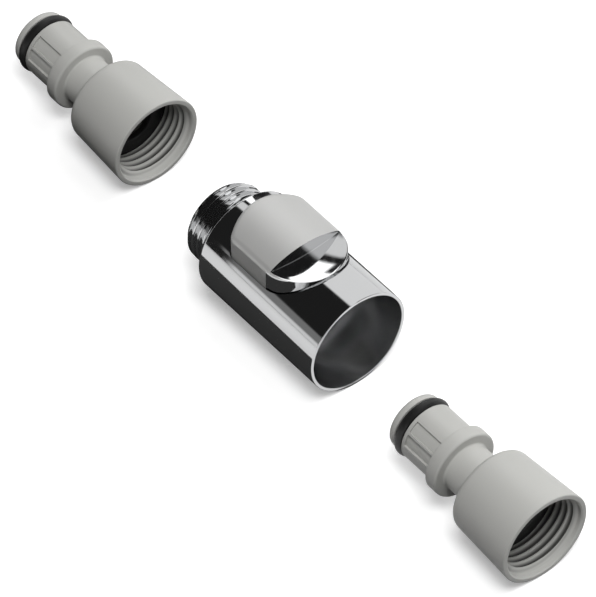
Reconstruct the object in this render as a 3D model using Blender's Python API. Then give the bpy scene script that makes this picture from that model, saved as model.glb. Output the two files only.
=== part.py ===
"""Push-button quick coupling for a shower outlet, taken apart in line.

A chromed socket with a sprung release button lies between its two plug nipples.
Units are metres. The socket's axis runs along X with its open mouth towards +X, the button is on
top (+Z), and the origin is on the floor below the middle of the socket.
"""
import math

import bmesh
import bpy
from mathutils import Vector

# Driving dimensions of the socket. Depths are measured back from its mouth.
BODY_RADIUS = 0.0135
BODY_LENGTH = 0.0409
SLEEVE_WALL = 0.0008
SLEEVE_DEPTH = 0.0186
SPIGOT_BORE_RADIUS = 0.0060
MOUTH_CHAMFER = 0.0002
REAR_ROUNDING = 0.0007
LEAD_IN_LENGTH = 0.0012

# Pipe thread G 1/2, shared by the socket's spigot and the nipples' cups.
THREAD_RADIUS = 0.0104775
THREAD_PITCH = 0.0018143
THREAD_DEPTH = 0.0011620
SPIGOT_TURNS = 4
SPIGOT_RELIEF = 0.0012
CUP_TURNS = 4

# Release button: it stands above the socket's round top, and depths are from the mouth.
BUTTON_FLANK = 0.0031
BUTTON_FRONT_CENTRE = 0.0200
BUTTON_REAR_END = 0.0366
BUTTON_REAR_RADIUS = 0.0160
BUTTON_CORNER_RADIUS = 0.0022
BUTTON_CROWN_STAND = 0.0032
BUTTON_EDGE_STAND = 0.00055
BUTTON_ROUNDING = 0.0011
ARCH_DEPTH = 0.0189
DISH_DEPTH = 0.0011
DISH_LIP = 0.0003
DISH_FILLET_SHARE = 0.8
PRESS_TRAVEL = 0.0020

# Latch plate and springs under the button.
LATCH_THICKNESS = 0.0018
LATCH_EAR_INSET = 0.0015
LATCH_EAR_WIDTH = 0.0019
LATCH_EAR_RISE = 0.0018
LATCH_SIDE_CUT = 0.0010
SPRING_DEPTH = 0.0275
SPRING_SPREAD = 0.0048
SPRING_RADIUS = 0.0016
SPRING_WIRE = 0.0002
SPRING_TURNS = 6
SPRING_ROOF = 0.0012
SPRING_FLOOR = 0.0006
POCKET_FLOOR = 0.0009
POCKET_SINK = 0.0034

# Plug nipple. Depths are measured back from the mouth of its cup.
CUP_RADIUS = 0.01195
CUP_BACK_RADIUS = 0.01090
CUP_LENGTH = 0.0195
CUP_BACK_ROUNDING = 0.0014
CUP_LAND = 0.0012
CUP_SEAT_DEPTH = 0.0106
CUP_WELL_RADIUS = 0.0056
CUP_WELL_DEPTH = 0.0152
NECK_RADIUS = 0.00605
NECK_LENGTH = 0.0077
COLLAR_RADIUS = 0.00865
COLLAR_LENGTH = 0.0034
COLLAR_BEVEL = 0.0006
PLUG_RADIUS = 0.0073
PLUG_LENGTH = 0.0147
NOSE_LENGTH = 0.0020
NOSE_RADIUS = 0.0071
NOSE_ROUNDING = 0.0011
BORE_RADIUS = 0.0040
ORING_SECTION = 0.0025
ORING_STAND = 0.00045
WASHER_THICKNESS = 0.0018
WASHER_RADIUS = 0.0090
WASHER_BORE = 0.0052
POCKET_DEPTH = 0.0006
POCKET_MARGIN = 0.0009
POCKET_HALF_ANGLE = math.radians(27)
POCKET_ROLL = math.radians(35)
POCKET_RIB_WIDTH = 0.0005

# The nipples lie in line with the socket, each a little to one side and rolled so that a pocket shows.
REAR_GAP = 0.0284
FRONT_GAP = 0.0240
NIPPLE_SIDE_STEP = 0.0042

# Clearances.
SEAT_GAP = 0.0003
RUNNING_GAP = 0.0003
ORING_GAP = 0.0002
BORE_CLEARANCE = 0.0002

# Mesh fineness.
BODY_STEPS = 44
NIPPLE_STEPS = 32
RING_STEPS = 8
HOLE_STEPS = 32

# Places worked out from the dimensions above.
SPIGOT_LENGTH = SPIGOT_RELIEF + THREAD_PITCH * (SPIGOT_TURNS + 0.35)
TOTAL_LENGTH = BODY_LENGTH + SPIGOT_LENGTH
MOUTH_X = (TOTAL_LENGTH + REAR_GAP - FRONT_GAP) / 2
AXIS_Z = BODY_RADIUS
SLEEVE_RADIUS = BODY_RADIUS - SLEEVE_WALL
THREAD_ROOT = THREAD_RADIUS - THREAD_DEPTH
NIPPLE_LENGTH = CUP_LENGTH + NECK_LENGTH + COLLAR_LENGTH + PLUG_LENGTH
COLLAR_SEAT_DEPTH = SLEEVE_DEPTH + 2 * SEAT_GAP + COLLAR_LENGTH
PLUG_BORE_DEPTH = COLLAR_SEAT_DEPTH + PLUG_LENGTH + SEAT_GAP
COLLAR_BORE_RADIUS = COLLAR_RADIUS + BORE_CLEARANCE
PLUG_BORE_RADIUS = PLUG_RADIUS + BORE_CLEARANCE
LATCH_BACK = SLEEVE_DEPTH - SEAT_GAP
LATCH_FRONT = LATCH_BACK - LATCH_THICKNESS
LATCH_HOLE_RADIUS = COLLAR_RADIUS + BORE_CLEARANCE
LATCH_SIDE = SLEEVE_RADIUS - LATCH_SIDE_CUT
BUTTON_HALF_WIDTH = BODY_RADIUS - BUTTON_FLANK
BUTTON_CROWN = BODY_RADIUS + BUTTON_CROWN_STAND
BUTTON_EDGE = BODY_RADIUS + BUTTON_EDGE_STAND
BUTTON_REAR_CENTRE = BUTTON_REAR_END - BUTTON_REAR_RADIUS
LATCH_EAR_INNER = BUTTON_HALF_WIDTH - LATCH_EAR_INSET - LATCH_EAR_WIDTH
CROWN_DROP = BUTTON_CROWN - BUTTON_EDGE
CROWN_RADIUS = (BUTTON_HALF_WIDTH ** 2 + CROWN_DROP ** 2) / (2 * CROWN_DROP)
POCKET_TOP = COLLAR_BORE_RADIUS + POCKET_FLOOR
POCKET_SIDE = math.sqrt(BODY_RADIUS ** 2 - BUTTON_HALF_WIDTH ** 2) - POCKET_SINK
POCKET_DROP = POCKET_TOP - POCKET_SIDE
POCKET_RADIUS = (BUTTON_HALF_WIDTH ** 2 + POCKET_DROP ** 2) / (2 * POCKET_DROP)
UNDERSIDE_LIFT = PRESS_TRAVEL + SEAT_GAP
CUTTER_TOP = AXIS_Z + 2 * BODY_RADIUS


def clear_scene():
    for item in list(bpy.data.objects):
        bpy.data.objects.remove(item, do_unlink=True)


def material(name, colour, roughness, metallic):
    made = bpy.data.materials.new(name)
    made.use_nodes = True
    shader = made.node_tree.nodes["Principled BSDF"]
    shader.inputs["Base Color"].default_value = (*colour, 1.0)
    shader.inputs["Roughness"].default_value = roughness
    shader.inputs["Metallic"].default_value = metallic
    return made


def link(name, mesh, finish=None):
    made = bpy.data.objects.new(name, mesh)
    bpy.context.scene.collection.objects.link(made)
    if finish:
        mesh.materials.append(finish)
        mesh.shade_smooth()
        mesh.set_sharp_from_angle(angle=math.radians(32))
    return made


def mesh_from(name, shape):
    bmesh.ops.remove_doubles(shape, verts=shape.verts, dist=1e-7)
    bmesh.ops.recalc_face_normals(shape, faces=shape.faces)
    mesh = bpy.data.meshes.new(name)
    shape.to_mesh(mesh)
    shape.free()
    return mesh


def turned_mesh(name, profile, steps):
    """Turn a closed outline of (depth, radius) points about the X axis; +X is depth 0's side."""
    shape = bmesh.new()
    rings = []
    for depth, radius in profile:
        ring = []
        for step in range(steps):
            turn = 2 * math.pi * step / steps
            ring.append(shape.verts.new((-depth, radius * math.sin(turn), radius * math.cos(turn))))
        rings.append(ring)
    for index, ring in enumerate(rings):
        following = rings[(index + 1) % len(rings)]
        for step in range(steps):
            after = (step + 1) % steps
            shape.faces.new((ring[step], ring[after], following[after], following[step]))
    return mesh_from(name, shape)


def cut(target, cutter):
    cutter.hide_render = True
    cutter.display_type = "WIRE"
    boolean = target.modifiers.new(f"cut_{cutter.name}", "BOOLEAN")
    boolean.operation = "DIFFERENCE"
    boolean.solver = "EXACT"
    boolean.object = cutter


def arc(centre, radius, start, end, steps):
    """Points on a circle in the (depth, radius) plane, both ends included, angles in degrees."""
    points = []
    for step in range(steps + 1):
        turn = math.radians(start + (end - start) * step / steps)
        points.append((centre[0] + radius * math.cos(turn), centre[1] + radius * math.sin(turn)))
    return points


# Socket body


def spigot_thread_profile():
    """Crests and roots of the male thread, from the shoulder to the free end."""
    first = BODY_LENGTH + SPIGOT_RELIEF
    points = [(BODY_LENGTH, THREAD_ROOT), (first, THREAD_ROOT)]
    for turn in range(SPIGOT_TURNS):
        start = first + turn * THREAD_PITCH
        points.append((start + 0.40 * THREAD_PITCH, THREAD_RADIUS))
        points.append((start + 0.60 * THREAD_PITCH, THREAD_RADIUS))
        points.append((start + THREAD_PITCH, THREAD_ROOT))
    points.append((TOTAL_LENGTH, THREAD_ROOT))
    return points


def socket_profile():
    rear_centre = (BODY_LENGTH - REAR_ROUNDING, BODY_RADIUS - REAR_ROUNDING)
    outside = [(0.0, BODY_RADIUS - MOUTH_CHAMFER), (MOUTH_CHAMFER, BODY_RADIUS)]
    outside += arc(rear_centre, REAR_ROUNDING, 90, 0, 3)
    outside += spigot_thread_profile()
    inside = [
        (TOTAL_LENGTH, SPIGOT_BORE_RADIUS),
        (PLUG_BORE_DEPTH, SPIGOT_BORE_RADIUS),
        (PLUG_BORE_DEPTH, PLUG_BORE_RADIUS),
        (COLLAR_SEAT_DEPTH + LEAD_IN_LENGTH, PLUG_BORE_RADIUS),
        (COLLAR_SEAT_DEPTH, PLUG_BORE_RADIUS + LEAD_IN_LENGTH / 3),
        (COLLAR_SEAT_DEPTH, COLLAR_BORE_RADIUS),
        (SLEEVE_DEPTH, COLLAR_BORE_RADIUS),
        (SLEEVE_DEPTH, SLEEVE_RADIUS),
        (MOUTH_CHAMFER, SLEEVE_RADIUS),
        (0.0, SLEEVE_RADIUS + MOUTH_CHAMFER),
    ]
    return outside + inside


def spring_pocket(name, side, low, high, radius):
    """Round cutter for one spring, standing upright beside the socket's axis."""
    shape = bmesh.new()
    bmesh.ops.create_cone(shape, cap_ends=True, segments=16, radius1=radius, radius2=radius, depth=high - low)
    cutter = link(name, mesh_from(name, shape))
    cutter.location = (MOUTH_X - SPRING_DEPTH, side * SPRING_SPREAD, (low + high) / 2)
    return cutter


def build_socket(chrome):
    body = link("socket_body", turned_mesh("socket_body", socket_profile(), BODY_STEPS), chrome)
    body.location = (MOUTH_X, 0.0, AXIS_Z)
    window = rounded_block("button_window", RUNNING_GAP, lambda x, y: CUTTER_TOP,
                           lambda x, y: AXIS_Z + pocket_height(y), 0.0)
    cut(body, window)
    for name, side in (("left", 1), ("right", -1)):
        low = spring_low()
        pocket = spring_pocket(f"body_spring_hole_{name}", side, low - SEAT_GAP, AXIS_Z + BODY_RADIUS,
                               SPRING_RADIUS + SPRING_WIRE + RUNNING_GAP)
        cut(body, pocket)
    return body


# Release button


def button_outline(grow):
    """The button seen from above as (x, y) points, grown outwards all round by a clearance."""
    half = BUTTON_HALF_WIDTH + grow
    front_x = MOUTH_X - BUTTON_FRONT_CENTRE
    rear_x = MOUTH_X - BUTTON_REAR_CENTRE
    rear_radius = BUTTON_REAR_RADIUS + grow
    corner = BUTTON_CORNER_RADIUS + grow
    corner_y = half - corner
    corner_x = rear_x - math.sqrt((rear_radius - corner) ** 2 - corner_y ** 2)
    lean = math.atan2(corner_y, rear_x - corner_x)
    points = []
    for step in range(17):
        turn = math.radians(-90 + 180 * step / 16)
        points.append((front_x + half * math.cos(turn), half * math.sin(turn)))
    for step in range(1, 4):
        points.append((front_x + (corner_x - front_x) * step / 4, half))
    for step in range(5):
        turn = math.radians(90) + (math.radians(90) - lean) * step / 4
        points.append((corner_x + corner * math.cos(turn), corner_y + corner * math.sin(turn)))
    for step in range(1, 10):
        turn = math.pi - lean + 2 * lean * step / 10
        points.append((rear_x + rear_radius * math.cos(turn), rear_radius * math.sin(turn)))
    for step in range(5):
        turn = math.pi + lean + (math.radians(90) - lean) * step / 4
        points.append((corner_x + corner * math.cos(turn), -corner_y + corner * math.sin(turn)))
    for step in range(1, 4):
        points.append((corner_x + (front_x - corner_x) * step / 4, -half))
    return points


def crown_height(y):
    """Height of the button's arched top above the socket's axis."""
    return BUTTON_CROWN - CROWN_RADIUS + math.sqrt(CROWN_RADIUS ** 2 - min(abs(y), BUTTON_HALF_WIDTH) ** 2)


def pocket_height(y):
    """Height of the pocket's arched floor above the socket's axis."""
    return POCKET_TOP - POCKET_RADIUS + math.sqrt(POCKET_RADIUS ** 2 - y ** 2)


def rounded_block(name, grow, top, bottom, rounding):
    """A block with the button's outline, upright walls, curved ends and a rounded upper edge."""
    shape = bmesh.new()
    outline = button_outline(grow)
    spine_front = MOUTH_X - BUTTON_FRONT_CENTRE
    spine_rear = MOUTH_X - BUTTON_REAR_END + BUTTON_HALF_WIDTH

    def ring(inset, height, drop):
        verts = []
        for x, y in outline:
            spine = Vector((min(max(x, spine_rear), spine_front), 0.0))
            edge = Vector((x, y))
            point = edge + (spine - edge) * min(inset / (edge - spine).length, 0.94)
            verts.append(shape.verts.new((point.x, point.y, height(point.x, point.y) - drop)))
        return verts

    rings = []
    full = BUTTON_HALF_WIDTH
    for share in (0.94, 0.7, 0.45, 0.2, 0.0):
        rings.append(ring(share * full, bottom, 0.0))
    if rounding > 0:
        for step in range(5):
            turn = math.radians(90 * step / 4)
            rings.append(ring(rounding * (1 - math.cos(turn)), top, rounding * (1 - math.sin(turn))))
    else:
        rings.append(ring(0.0, top, 0.0))
    for share in (0.25, 0.5, 0.75, 0.94):
        rings.append(ring(share * full, top, 0.0))
    count = len(outline)
    for lower, upper in zip(rings, rings[1:]):
        for index in range(count):
            after = (index + 1) % count
            shape.faces.new((lower[index], lower[after], upper[after], upper[index]))
    shape.faces.new(rings[0])
    shape.faces.new(rings[-1])
    bmesh.ops.triangulate(shape, faces=shape.faces)
    return link(name, mesh_from(name, shape))


def box_cutter(name, low, high):
    shape = bmesh.new()
    bmesh.ops.create_cube(shape, size=1.0)
    size = Vector(high) - Vector(low)
    centre = (Vector(high) + Vector(low)) / 2
    for vert in shape.verts:
        vert.co = Vector((vert.co.x * size.x, vert.co.y * size.y, vert.co.z * size.z)) + centre
    return link(name, mesh_from(name, shape))


def dish_cutter():
    """The thumb dish: a shallow bowl that sweeps up into the flat end of the button's ridge."""
    shape = bmesh.new()
    wall_x = MOUTH_X - ARCH_DEPTH
    centre_x = MOUTH_X - BUTTON_FRONT_CENTRE
    lip = BUTTON_HALF_WIDTH - DISH_LIP
    reach = math.sqrt(lip ** 2 - (wall_x - centre_x) ** 2)
    rows = 18
    columns = 12
    floor_rows = []
    roof_rows = []
    for row in range(rows + 1):
        y = reach * math.sin(math.radians(-90 + 180 * row / rows))
        lip_x = centre_x + math.sqrt(max(lip ** 2 - y ** 2, (wall_x - centre_x) ** 2))
        floor_row = []
        roof_row = []
        for column in range(columns + 1):
            x = wall_x + (lip_x - wall_x) * (column / columns) ** 1.6
            outward = min(math.hypot(x - centre_x, y) / lip, 1.0)
            height = BUTTON_EDGE - DISH_DEPTH * (1 - outward ** 2)
            sweep = DISH_FILLET_SHARE * (crown_height(y) - height)
            from_wall = x - wall_x
            if from_wall < sweep:
                height += sweep - math.sqrt(sweep ** 2 - (sweep - from_wall) ** 2)
            floor_row.append(shape.verts.new((x, y, AXIS_Z + height)))
            roof_row.append(shape.verts.new((x, y, CUTTER_TOP)))
        floor_rows.append(floor_row)
        roof_rows.append(roof_row)
    for sheet in (floor_rows, roof_rows):
        for row in range(rows):
            for column in range(columns):
                shape.faces.new((sheet[row][column], sheet[row][column + 1],
                                 sheet[row + 1][column + 1], sheet[row + 1][column]))
    for row in range(rows):
        for column in (0, columns):
            shape.faces.new((floor_rows[row][column], floor_rows[row + 1][column],
                             roof_rows[row + 1][column], roof_rows[row][column]))
    bmesh.ops.dissolve_degenerate(shape, edges=shape.edges, dist=1e-7)
    return link("thumb_dish", mesh_from("thumb_dish", shape))


def build_button(satin):
    button = rounded_block("release_button", 0.0, lambda x, y: AXIS_Z + crown_height(y),
                           lambda x, y: AXIS_Z + pocket_height(y) + UNDERSIDE_LIFT, BUTTON_ROUNDING)
    button.data.materials.append(satin)
    button.data.shade_smooth()
    button.data.set_sharp_from_angle(angle=math.radians(32))
    wall_x = MOUTH_X - ARCH_DEPTH
    cut(button, box_cutter("front_level", (wall_x, -BODY_RADIUS, AXIS_Z + BUTTON_EDGE),
                           (MOUTH_X, BODY_RADIUS, CUTTER_TOP)))
    cut(button, dish_cutter())
    for name, side in (("left", 1), ("right", -1)):
        inner = side * (LATCH_EAR_INNER - SEAT_GAP)
        outer = side * (LATCH_EAR_INNER + LATCH_EAR_WIDTH + SEAT_GAP)
        slot = box_cutter(f"ear_slot_{name}",
                          (MOUTH_X - LATCH_BACK - SEAT_GAP, min(inner, outer), AXIS_Z),
                          (MOUTH_X - LATCH_FRONT + SEAT_GAP, max(inner, outer), ear_top() + SEAT_GAP))
        cut(button, slot)
        hole = spring_pocket(f"button_spring_hole_{name}", side, AXIS_Z, spring_high() + SEAT_GAP,
                             SPRING_RADIUS + SPRING_WIRE + RUNNING_GAP)
        cut(button, hole)
    return button


# Latch plate


def ear_top():
    return AXIS_Z + pocket_height(LATCH_EAR_INNER + LATCH_EAR_WIDTH / 2) + UNDERSIDE_LIFT + LATCH_EAR_RISE


def latch_outline():
    """Outer edge of the plate as (y, z) points from the axis, anticlockwise seen from the mouth."""
    upper = SLEEVE_RADIUS - RUNNING_GAP
    right = []
    for step in range(9):
        y = LATCH_SIDE * math.sin(math.radians(90 * step / 8))
        right.append((y, PRESS_TRAVEL - math.sqrt(upper ** 2 - y ** 2)))
    shoulder = BUTTON_HALF_WIDTH
    right.append((LATCH_SIDE, math.sqrt(upper ** 2 - LATCH_SIDE ** 2)))
    right.append((shoulder, math.sqrt(upper ** 2 - shoulder ** 2)))
    ear_outer = LATCH_EAR_INNER + LATCH_EAR_WIDTH
    right.append((ear_outer, pocket_height(ear_outer) + PRESS_TRAVEL))
    right.append((ear_outer, ear_top() - AXIS_Z))
    right.append((LATCH_EAR_INNER, ear_top() - AXIS_Z))
    for step in range(5):
        y = LATCH_EAR_INNER * (1 - step / 4)
        right.append((y, pocket_height(y) + PRESS_TRAVEL))
    left = [(-y, z) for y, z in reversed(right[1:-1])]
    return right + left


def build_latch(steel):
    """A stamped plate: its hole is raised, so its lower edge stands in the nipple's neck."""
    shape = bmesh.new()
    hole = []
    for step in range(HOLE_STEPS):
        turn = 2 * math.pi * (step + 0.5) / HOLE_STEPS
        hole.append((LATCH_HOLE_RADIUS * math.sin(turn), PRESS_TRAVEL + LATCH_HOLE_RADIUS * math.cos(turn)))
    edges = []
    for loop in (latch_outline(), hole):
        verts = [shape.verts.new((MOUTH_X - LATCH_FRONT, y, AXIS_Z + z)) for y, z in loop]
        edges += [shape.edges.new((verts[index - 1], verts[index])) for index in range(len(verts))]
    bmesh.ops.triangle_fill(shape, use_beauty=True, edges=edges)
    extruded = bmesh.ops.extrude_face_region(shape, geom=shape.faces[:])
    pushed = [item for item in extruded["geom"] if isinstance(item, bmesh.types.BMVert)]
    bmesh.ops.translate(shape, verts=pushed, vec=(-LATCH_THICKNESS, 0.0, 0.0))
    return link("latch_plate", mesh_from("latch_plate", shape), steel)


# Button springs


def spring_low():
    near = SPRING_SPREAD - SPRING_RADIUS - SPRING_WIRE - RUNNING_GAP
    return AXIS_Z + math.sqrt(PLUG_BORE_RADIUS ** 2 - near ** 2) + SPRING_FLOOR + SEAT_GAP


def spring_high():
    far = SPRING_SPREAD + SPRING_RADIUS + SPRING_WIRE + RUNNING_GAP
    return AXIS_Z + crown_height(far) - SPRING_ROOF - SEAT_GAP


def build_spring(name, side, steel):
    """A coil spring with closed end turns, standing between its two pockets."""
    low = spring_low() + SPRING_WIRE
    high = spring_high() - SPRING_WIRE
    closed = 2.6 * SPRING_WIRE
    curve = bpy.data.curves.new(name, "CURVE")
    curve.dimensions = "3D"
    curve.bevel_depth = SPRING_WIRE
    curve.bevel_resolution = 1
    curve.use_fill_caps = True
    spline = curve.splines.new("POLY")
    per_turn = 10
    count = SPRING_TURNS * per_turn + 1
    spline.points.add(count - 1)
    open_pitch = (high - low - 2 * closed) / (SPRING_TURNS - 2)
    for index in range(count):
        turns = index / per_turn
        if turns < 1:
            height = low + closed * turns
        elif turns > SPRING_TURNS - 1:
            height = high - closed * (SPRING_TURNS - turns)
        else:
            height = low + closed + open_pitch * (turns - 1)
        angle = 2 * math.pi * turns
        spline.points[index].co = (
            MOUTH_X - SPRING_DEPTH + SPRING_RADIUS * math.cos(angle),
            side * SPRING_SPREAD + SPRING_RADIUS * math.sin(angle),
            height,
            1.0,
        )
    curve.materials.append(steel)
    spring = bpy.data.objects.new(name, curve)
    bpy.context.scene.collection.objects.link(spring)
    return spring


# Plug nipples


def cup_radius_at(depth):
    return CUP_RADIUS - (CUP_RADIUS - CUP_BACK_RADIUS) * depth / CUP_LENGTH


def nipple_profile():
    """Outside from the cup's mouth to the nose, then back through the bore and the thread."""
    collar_near = CUP_LENGTH + NECK_LENGTH
    collar_far = collar_near + COLLAR_LENGTH
    groove_width = ORING_SECTION + 2 * ORING_GAP
    groove_far = NIPPLE_LENGTH - NOSE_LENGTH
    groove_near = groove_far - groove_width
    groove_radius = PLUG_RADIUS + ORING_STAND - ORING_SECTION - ORING_GAP
    back_centre = (CUP_LENGTH - CUP_BACK_ROUNDING, CUP_BACK_RADIUS - CUP_BACK_ROUNDING)
    points = [(0.0, CUP_RADIUS - MOUTH_CHAMFER), (MOUTH_CHAMFER, CUP_RADIUS)]
    points.append((back_centre[0], cup_radius_at(back_centre[0])))
    points += arc(back_centre, CUP_BACK_ROUNDING, 60, 0, 3)
    points += [
        (CUP_LENGTH, NECK_RADIUS),
        (collar_near, NECK_RADIUS),
        (collar_near, COLLAR_RADIUS - COLLAR_BEVEL),
        (collar_near + COLLAR_BEVEL, COLLAR_RADIUS),
        (collar_far - COLLAR_BEVEL, COLLAR_RADIUS),
        (collar_far, PLUG_RADIUS + COLLAR_BEVEL / 2),
        (collar_far + COLLAR_BEVEL / 2, PLUG_RADIUS),
        (groove_near, PLUG_RADIUS),
        (groove_near, groove_radius),
        (groove_far, groove_radius),
        (groove_far, NOSE_RADIUS),
    ]
    nose_centre = (NIPPLE_LENGTH - NOSE_ROUNDING, NOSE_RADIUS - NOSE_ROUNDING)
    points += arc(nose_centre, NOSE_ROUNDING, 90, 0, 3)
    points += [
        (NIPPLE_LENGTH, BORE_RADIUS),
        (CUP_WELL_DEPTH + CUP_WELL_RADIUS - BORE_RADIUS, BORE_RADIUS),
        (CUP_WELL_DEPTH, CUP_WELL_RADIUS),
        (CUP_SEAT_DEPTH, CUP_WELL_RADIUS),
        (CUP_SEAT_DEPTH, THREAD_RADIUS),
    ]
    for turn in reversed(range(CUP_TURNS)):
        start = CUP_LAND + turn * THREAD_PITCH
        points.append((start + THREAD_PITCH, THREAD_RADIUS))
        points.append((start + 0.60 * THREAD_PITCH, THREAD_ROOT))
        points.append((start + 0.40 * THREAD_PITCH, THREAD_ROOT))
    points.append((CUP_LAND, THREAD_RADIUS))
    points.append((0.0, THREAD_RADIUS + MOUTH_CHAMFER))
    return points


def pocket_cutter(name, side, start_angle, end_angle):
    """Wedge of a thick tube that leaves a shallow recess in the plug's flank."""
    shape = bmesh.new()
    near = CUP_LENGTH + NECK_LENGTH + COLLAR_LENGTH + COLLAR_BEVEL
    far = NIPPLE_LENGTH - NOSE_LENGTH - ORING_SECTION - 2 * ORING_GAP - POCKET_MARGIN
    steps = 6
    rows = []
    for depth in (near, far):
        for radius in (PLUG_RADIUS - POCKET_DEPTH, COLLAR_RADIUS):
            row = []
            for step in range(steps + 1):
                turn = start_angle + (end_angle - start_angle) * step / steps
                row.append(shape.verts.new((-depth, side * radius * math.cos(turn), radius * math.sin(turn))))
            rows.append(row)
    inner_near, outer_near, inner_far, outer_far = rows
    for step in range(steps):
        for first, second in ((inner_near, outer_near), (outer_near, outer_far),
                              (outer_far, inner_far), (inner_far, inner_near)):
            shape.faces.new((first[step], first[step + 1], second[step + 1], second[step]))
    for end in (0, steps):
        shape.faces.new((inner_near[end], outer_near[end], outer_far[end], inner_far[end]))
    return link(name, mesh_from(name, shape))


def build_nipple(label, mouth_x, y, plastic, rubber):
    holder = bpy.data.objects.new(f"nipple_{label}_place", None)
    bpy.context.scene.collection.objects.link(holder)
    holder.location = (mouth_x, y, CUP_RADIUS)
    nipple = link(f"nipple_{label}", turned_mesh(f"nipple_{label}", nipple_profile(), NIPPLE_STEPS), plastic)
    nipple.parent = holder
    rib = math.asin(POCKET_RIB_WIDTH / 2 / PLUG_RADIUS)
    for name, side in (("left", 1), ("right", -1)):
        for half, start, end in (("low", -POCKET_HALF_ANGLE, -rib), ("high", rib, POCKET_HALF_ANGLE)):
            pocket = pocket_cutter(f"plug_pocket_{label}_{name}_{half}", side, start, end)
            pocket.rotation_euler.x = -POCKET_ROLL
            pocket.parent = holder
            cut(nipple, pocket)
    ring_centre = (NIPPLE_LENGTH - NOSE_LENGTH - ORING_GAP - ORING_SECTION / 2,
                   PLUG_RADIUS + ORING_STAND - ORING_SECTION / 2)
    section = arc(ring_centre, ORING_SECTION / 2, 0, 360, RING_STEPS)[:-1]
    ring = link(f"o_ring_{label}", turned_mesh(f"o_ring_{label}", section, NIPPLE_STEPS), rubber)
    ring.parent = holder
    washer_far = CUP_SEAT_DEPTH - SEAT_GAP
    washer_near = washer_far - WASHER_THICKNESS
    washer_section = [(washer_near, WASHER_BORE), (washer_near, WASHER_RADIUS),
                      (washer_far, WASHER_RADIUS), (washer_far, WASHER_BORE)]
    washer = link(f"washer_{label}", turned_mesh(f"washer_{label}", washer_section, NIPPLE_STEPS), rubber)
    washer.parent = holder


def main():
    clear_scene()
    chrome = material("polished_chrome", (0.62, 0.63, 0.64), 0.08, 1.0)
    satin = material("satin_chrome", (0.60, 0.60, 0.59), 0.28, 1.0)
    steel = material("spring_steel", (0.46, 0.46, 0.47), 0.30, 1.0)
    plastic = material("grey_plastic", (0.46, 0.46, 0.44), 0.42, 0.0)
    rubber = material("black_rubber", (0.012, 0.012, 0.012), 0.55, 0.0)
    build_socket(chrome)
    build_button(satin)
    build_latch(steel)
    build_spring("button_spring_left", 1, steel)
    build_spring("button_spring_right", -1, steel)
    rear_nipple_mouth = MOUTH_X - TOTAL_LENGTH - REAR_GAP
    front_nipple_mouth = MOUTH_X + FRONT_GAP + NIPPLE_LENGTH
    build_nipple("rear", rear_nipple_mouth, NIPPLE_SIDE_STEP, plastic, rubber)
    build_nipple("front", front_nipple_mouth, -NIPPLE_SIDE_STEP, plastic, rubber)


main()
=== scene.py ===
"""The looks of a push-button quick coupling for a shower outlet, taken apart in line on a pale floor.

A chromed socket with its release button lies between the two grey plug nipples that fit it. Units are
metres. The socket's axis runs along X with its open mouth towards +X, and the button is on top.
"""
import math

import bmesh
import bpy
from mathutils import Matrix, Vector


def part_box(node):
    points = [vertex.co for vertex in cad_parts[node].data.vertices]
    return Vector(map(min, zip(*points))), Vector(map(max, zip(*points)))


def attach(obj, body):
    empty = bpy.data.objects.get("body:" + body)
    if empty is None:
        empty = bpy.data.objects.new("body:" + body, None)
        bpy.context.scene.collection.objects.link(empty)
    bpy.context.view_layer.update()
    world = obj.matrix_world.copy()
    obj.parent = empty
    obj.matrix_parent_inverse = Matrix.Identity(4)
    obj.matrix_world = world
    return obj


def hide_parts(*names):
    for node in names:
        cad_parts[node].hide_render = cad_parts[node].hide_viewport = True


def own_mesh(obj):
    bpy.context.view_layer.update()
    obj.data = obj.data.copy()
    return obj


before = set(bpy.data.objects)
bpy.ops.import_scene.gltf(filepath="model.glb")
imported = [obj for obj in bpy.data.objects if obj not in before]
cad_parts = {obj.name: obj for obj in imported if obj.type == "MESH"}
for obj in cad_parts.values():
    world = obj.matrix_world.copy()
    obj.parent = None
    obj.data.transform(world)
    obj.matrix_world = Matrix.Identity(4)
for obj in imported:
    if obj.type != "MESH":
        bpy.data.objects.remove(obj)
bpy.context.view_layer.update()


# Socket body
# One piece of brass, turned and bored, with a G 1/2 thread cut on its rear spigot. A window is milled
# in its top for the button, with two blind holes for the springs. It is polished and chrome plated.

socket_low, socket_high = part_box("socket_body")
MOUTH_X = socket_high.x
AXIS_Z = (socket_low.z + socket_high.z) / 2
BODY_RADIUS = (socket_high.y - socket_low.y) / 2
TOTAL_LENGTH = socket_high.x - socket_low.x
BODY_LENGTH = 0.0409
SLEEVE_RADIUS = BODY_RADIUS - 0.0008
SLEEVE_DEPTH = 0.0186
COLLAR_BORE_RADIUS = 0.00885
COLLAR_SEAT_DEPTH = 0.0226
PLUG_BORE_RADIUS = 0.0075
PLUG_BORE_DEPTH = 0.0376
SPIGOT_BORE_RADIUS = 0.0060
LEAD_IN_LENGTH = 0.0012
RIM_ROUNDING = 0.00022
REAR_ROUNDING = 0.0008
EDGE_BREAK = 0.00025
THREAD_RADIUS = 0.0104775
THREAD_PITCH = 0.0018143
THREAD_DEPTH = 0.0011620
THREAD_ROOT = THREAD_RADIUS - THREAD_DEPTH
THREAD_RELIEF = 0.0010
THREAD_START = BODY_LENGTH + THREAD_RELIEF
THREAD_END = TOTAL_LENGTH - EDGE_BREAK
THREAD_FLANK = 1.3
THREAD_END_SLOPE = 0.9
SPIGOT_CHAMFER_SLOPE = 0.8
THREAD_POINTS = 14
BODY_STEPS = 720
MERGE_DISTANCE = 1e-7


def finished(name, shape):
    """Turn the working mesh into an object of the scene."""
    mesh = bpy.data.meshes.new(name)
    shape.to_mesh(mesh)
    shape.free()
    made = bpy.data.objects.new(name, mesh)
    bpy.context.scene.collection.objects.link(made)
    return made


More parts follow.
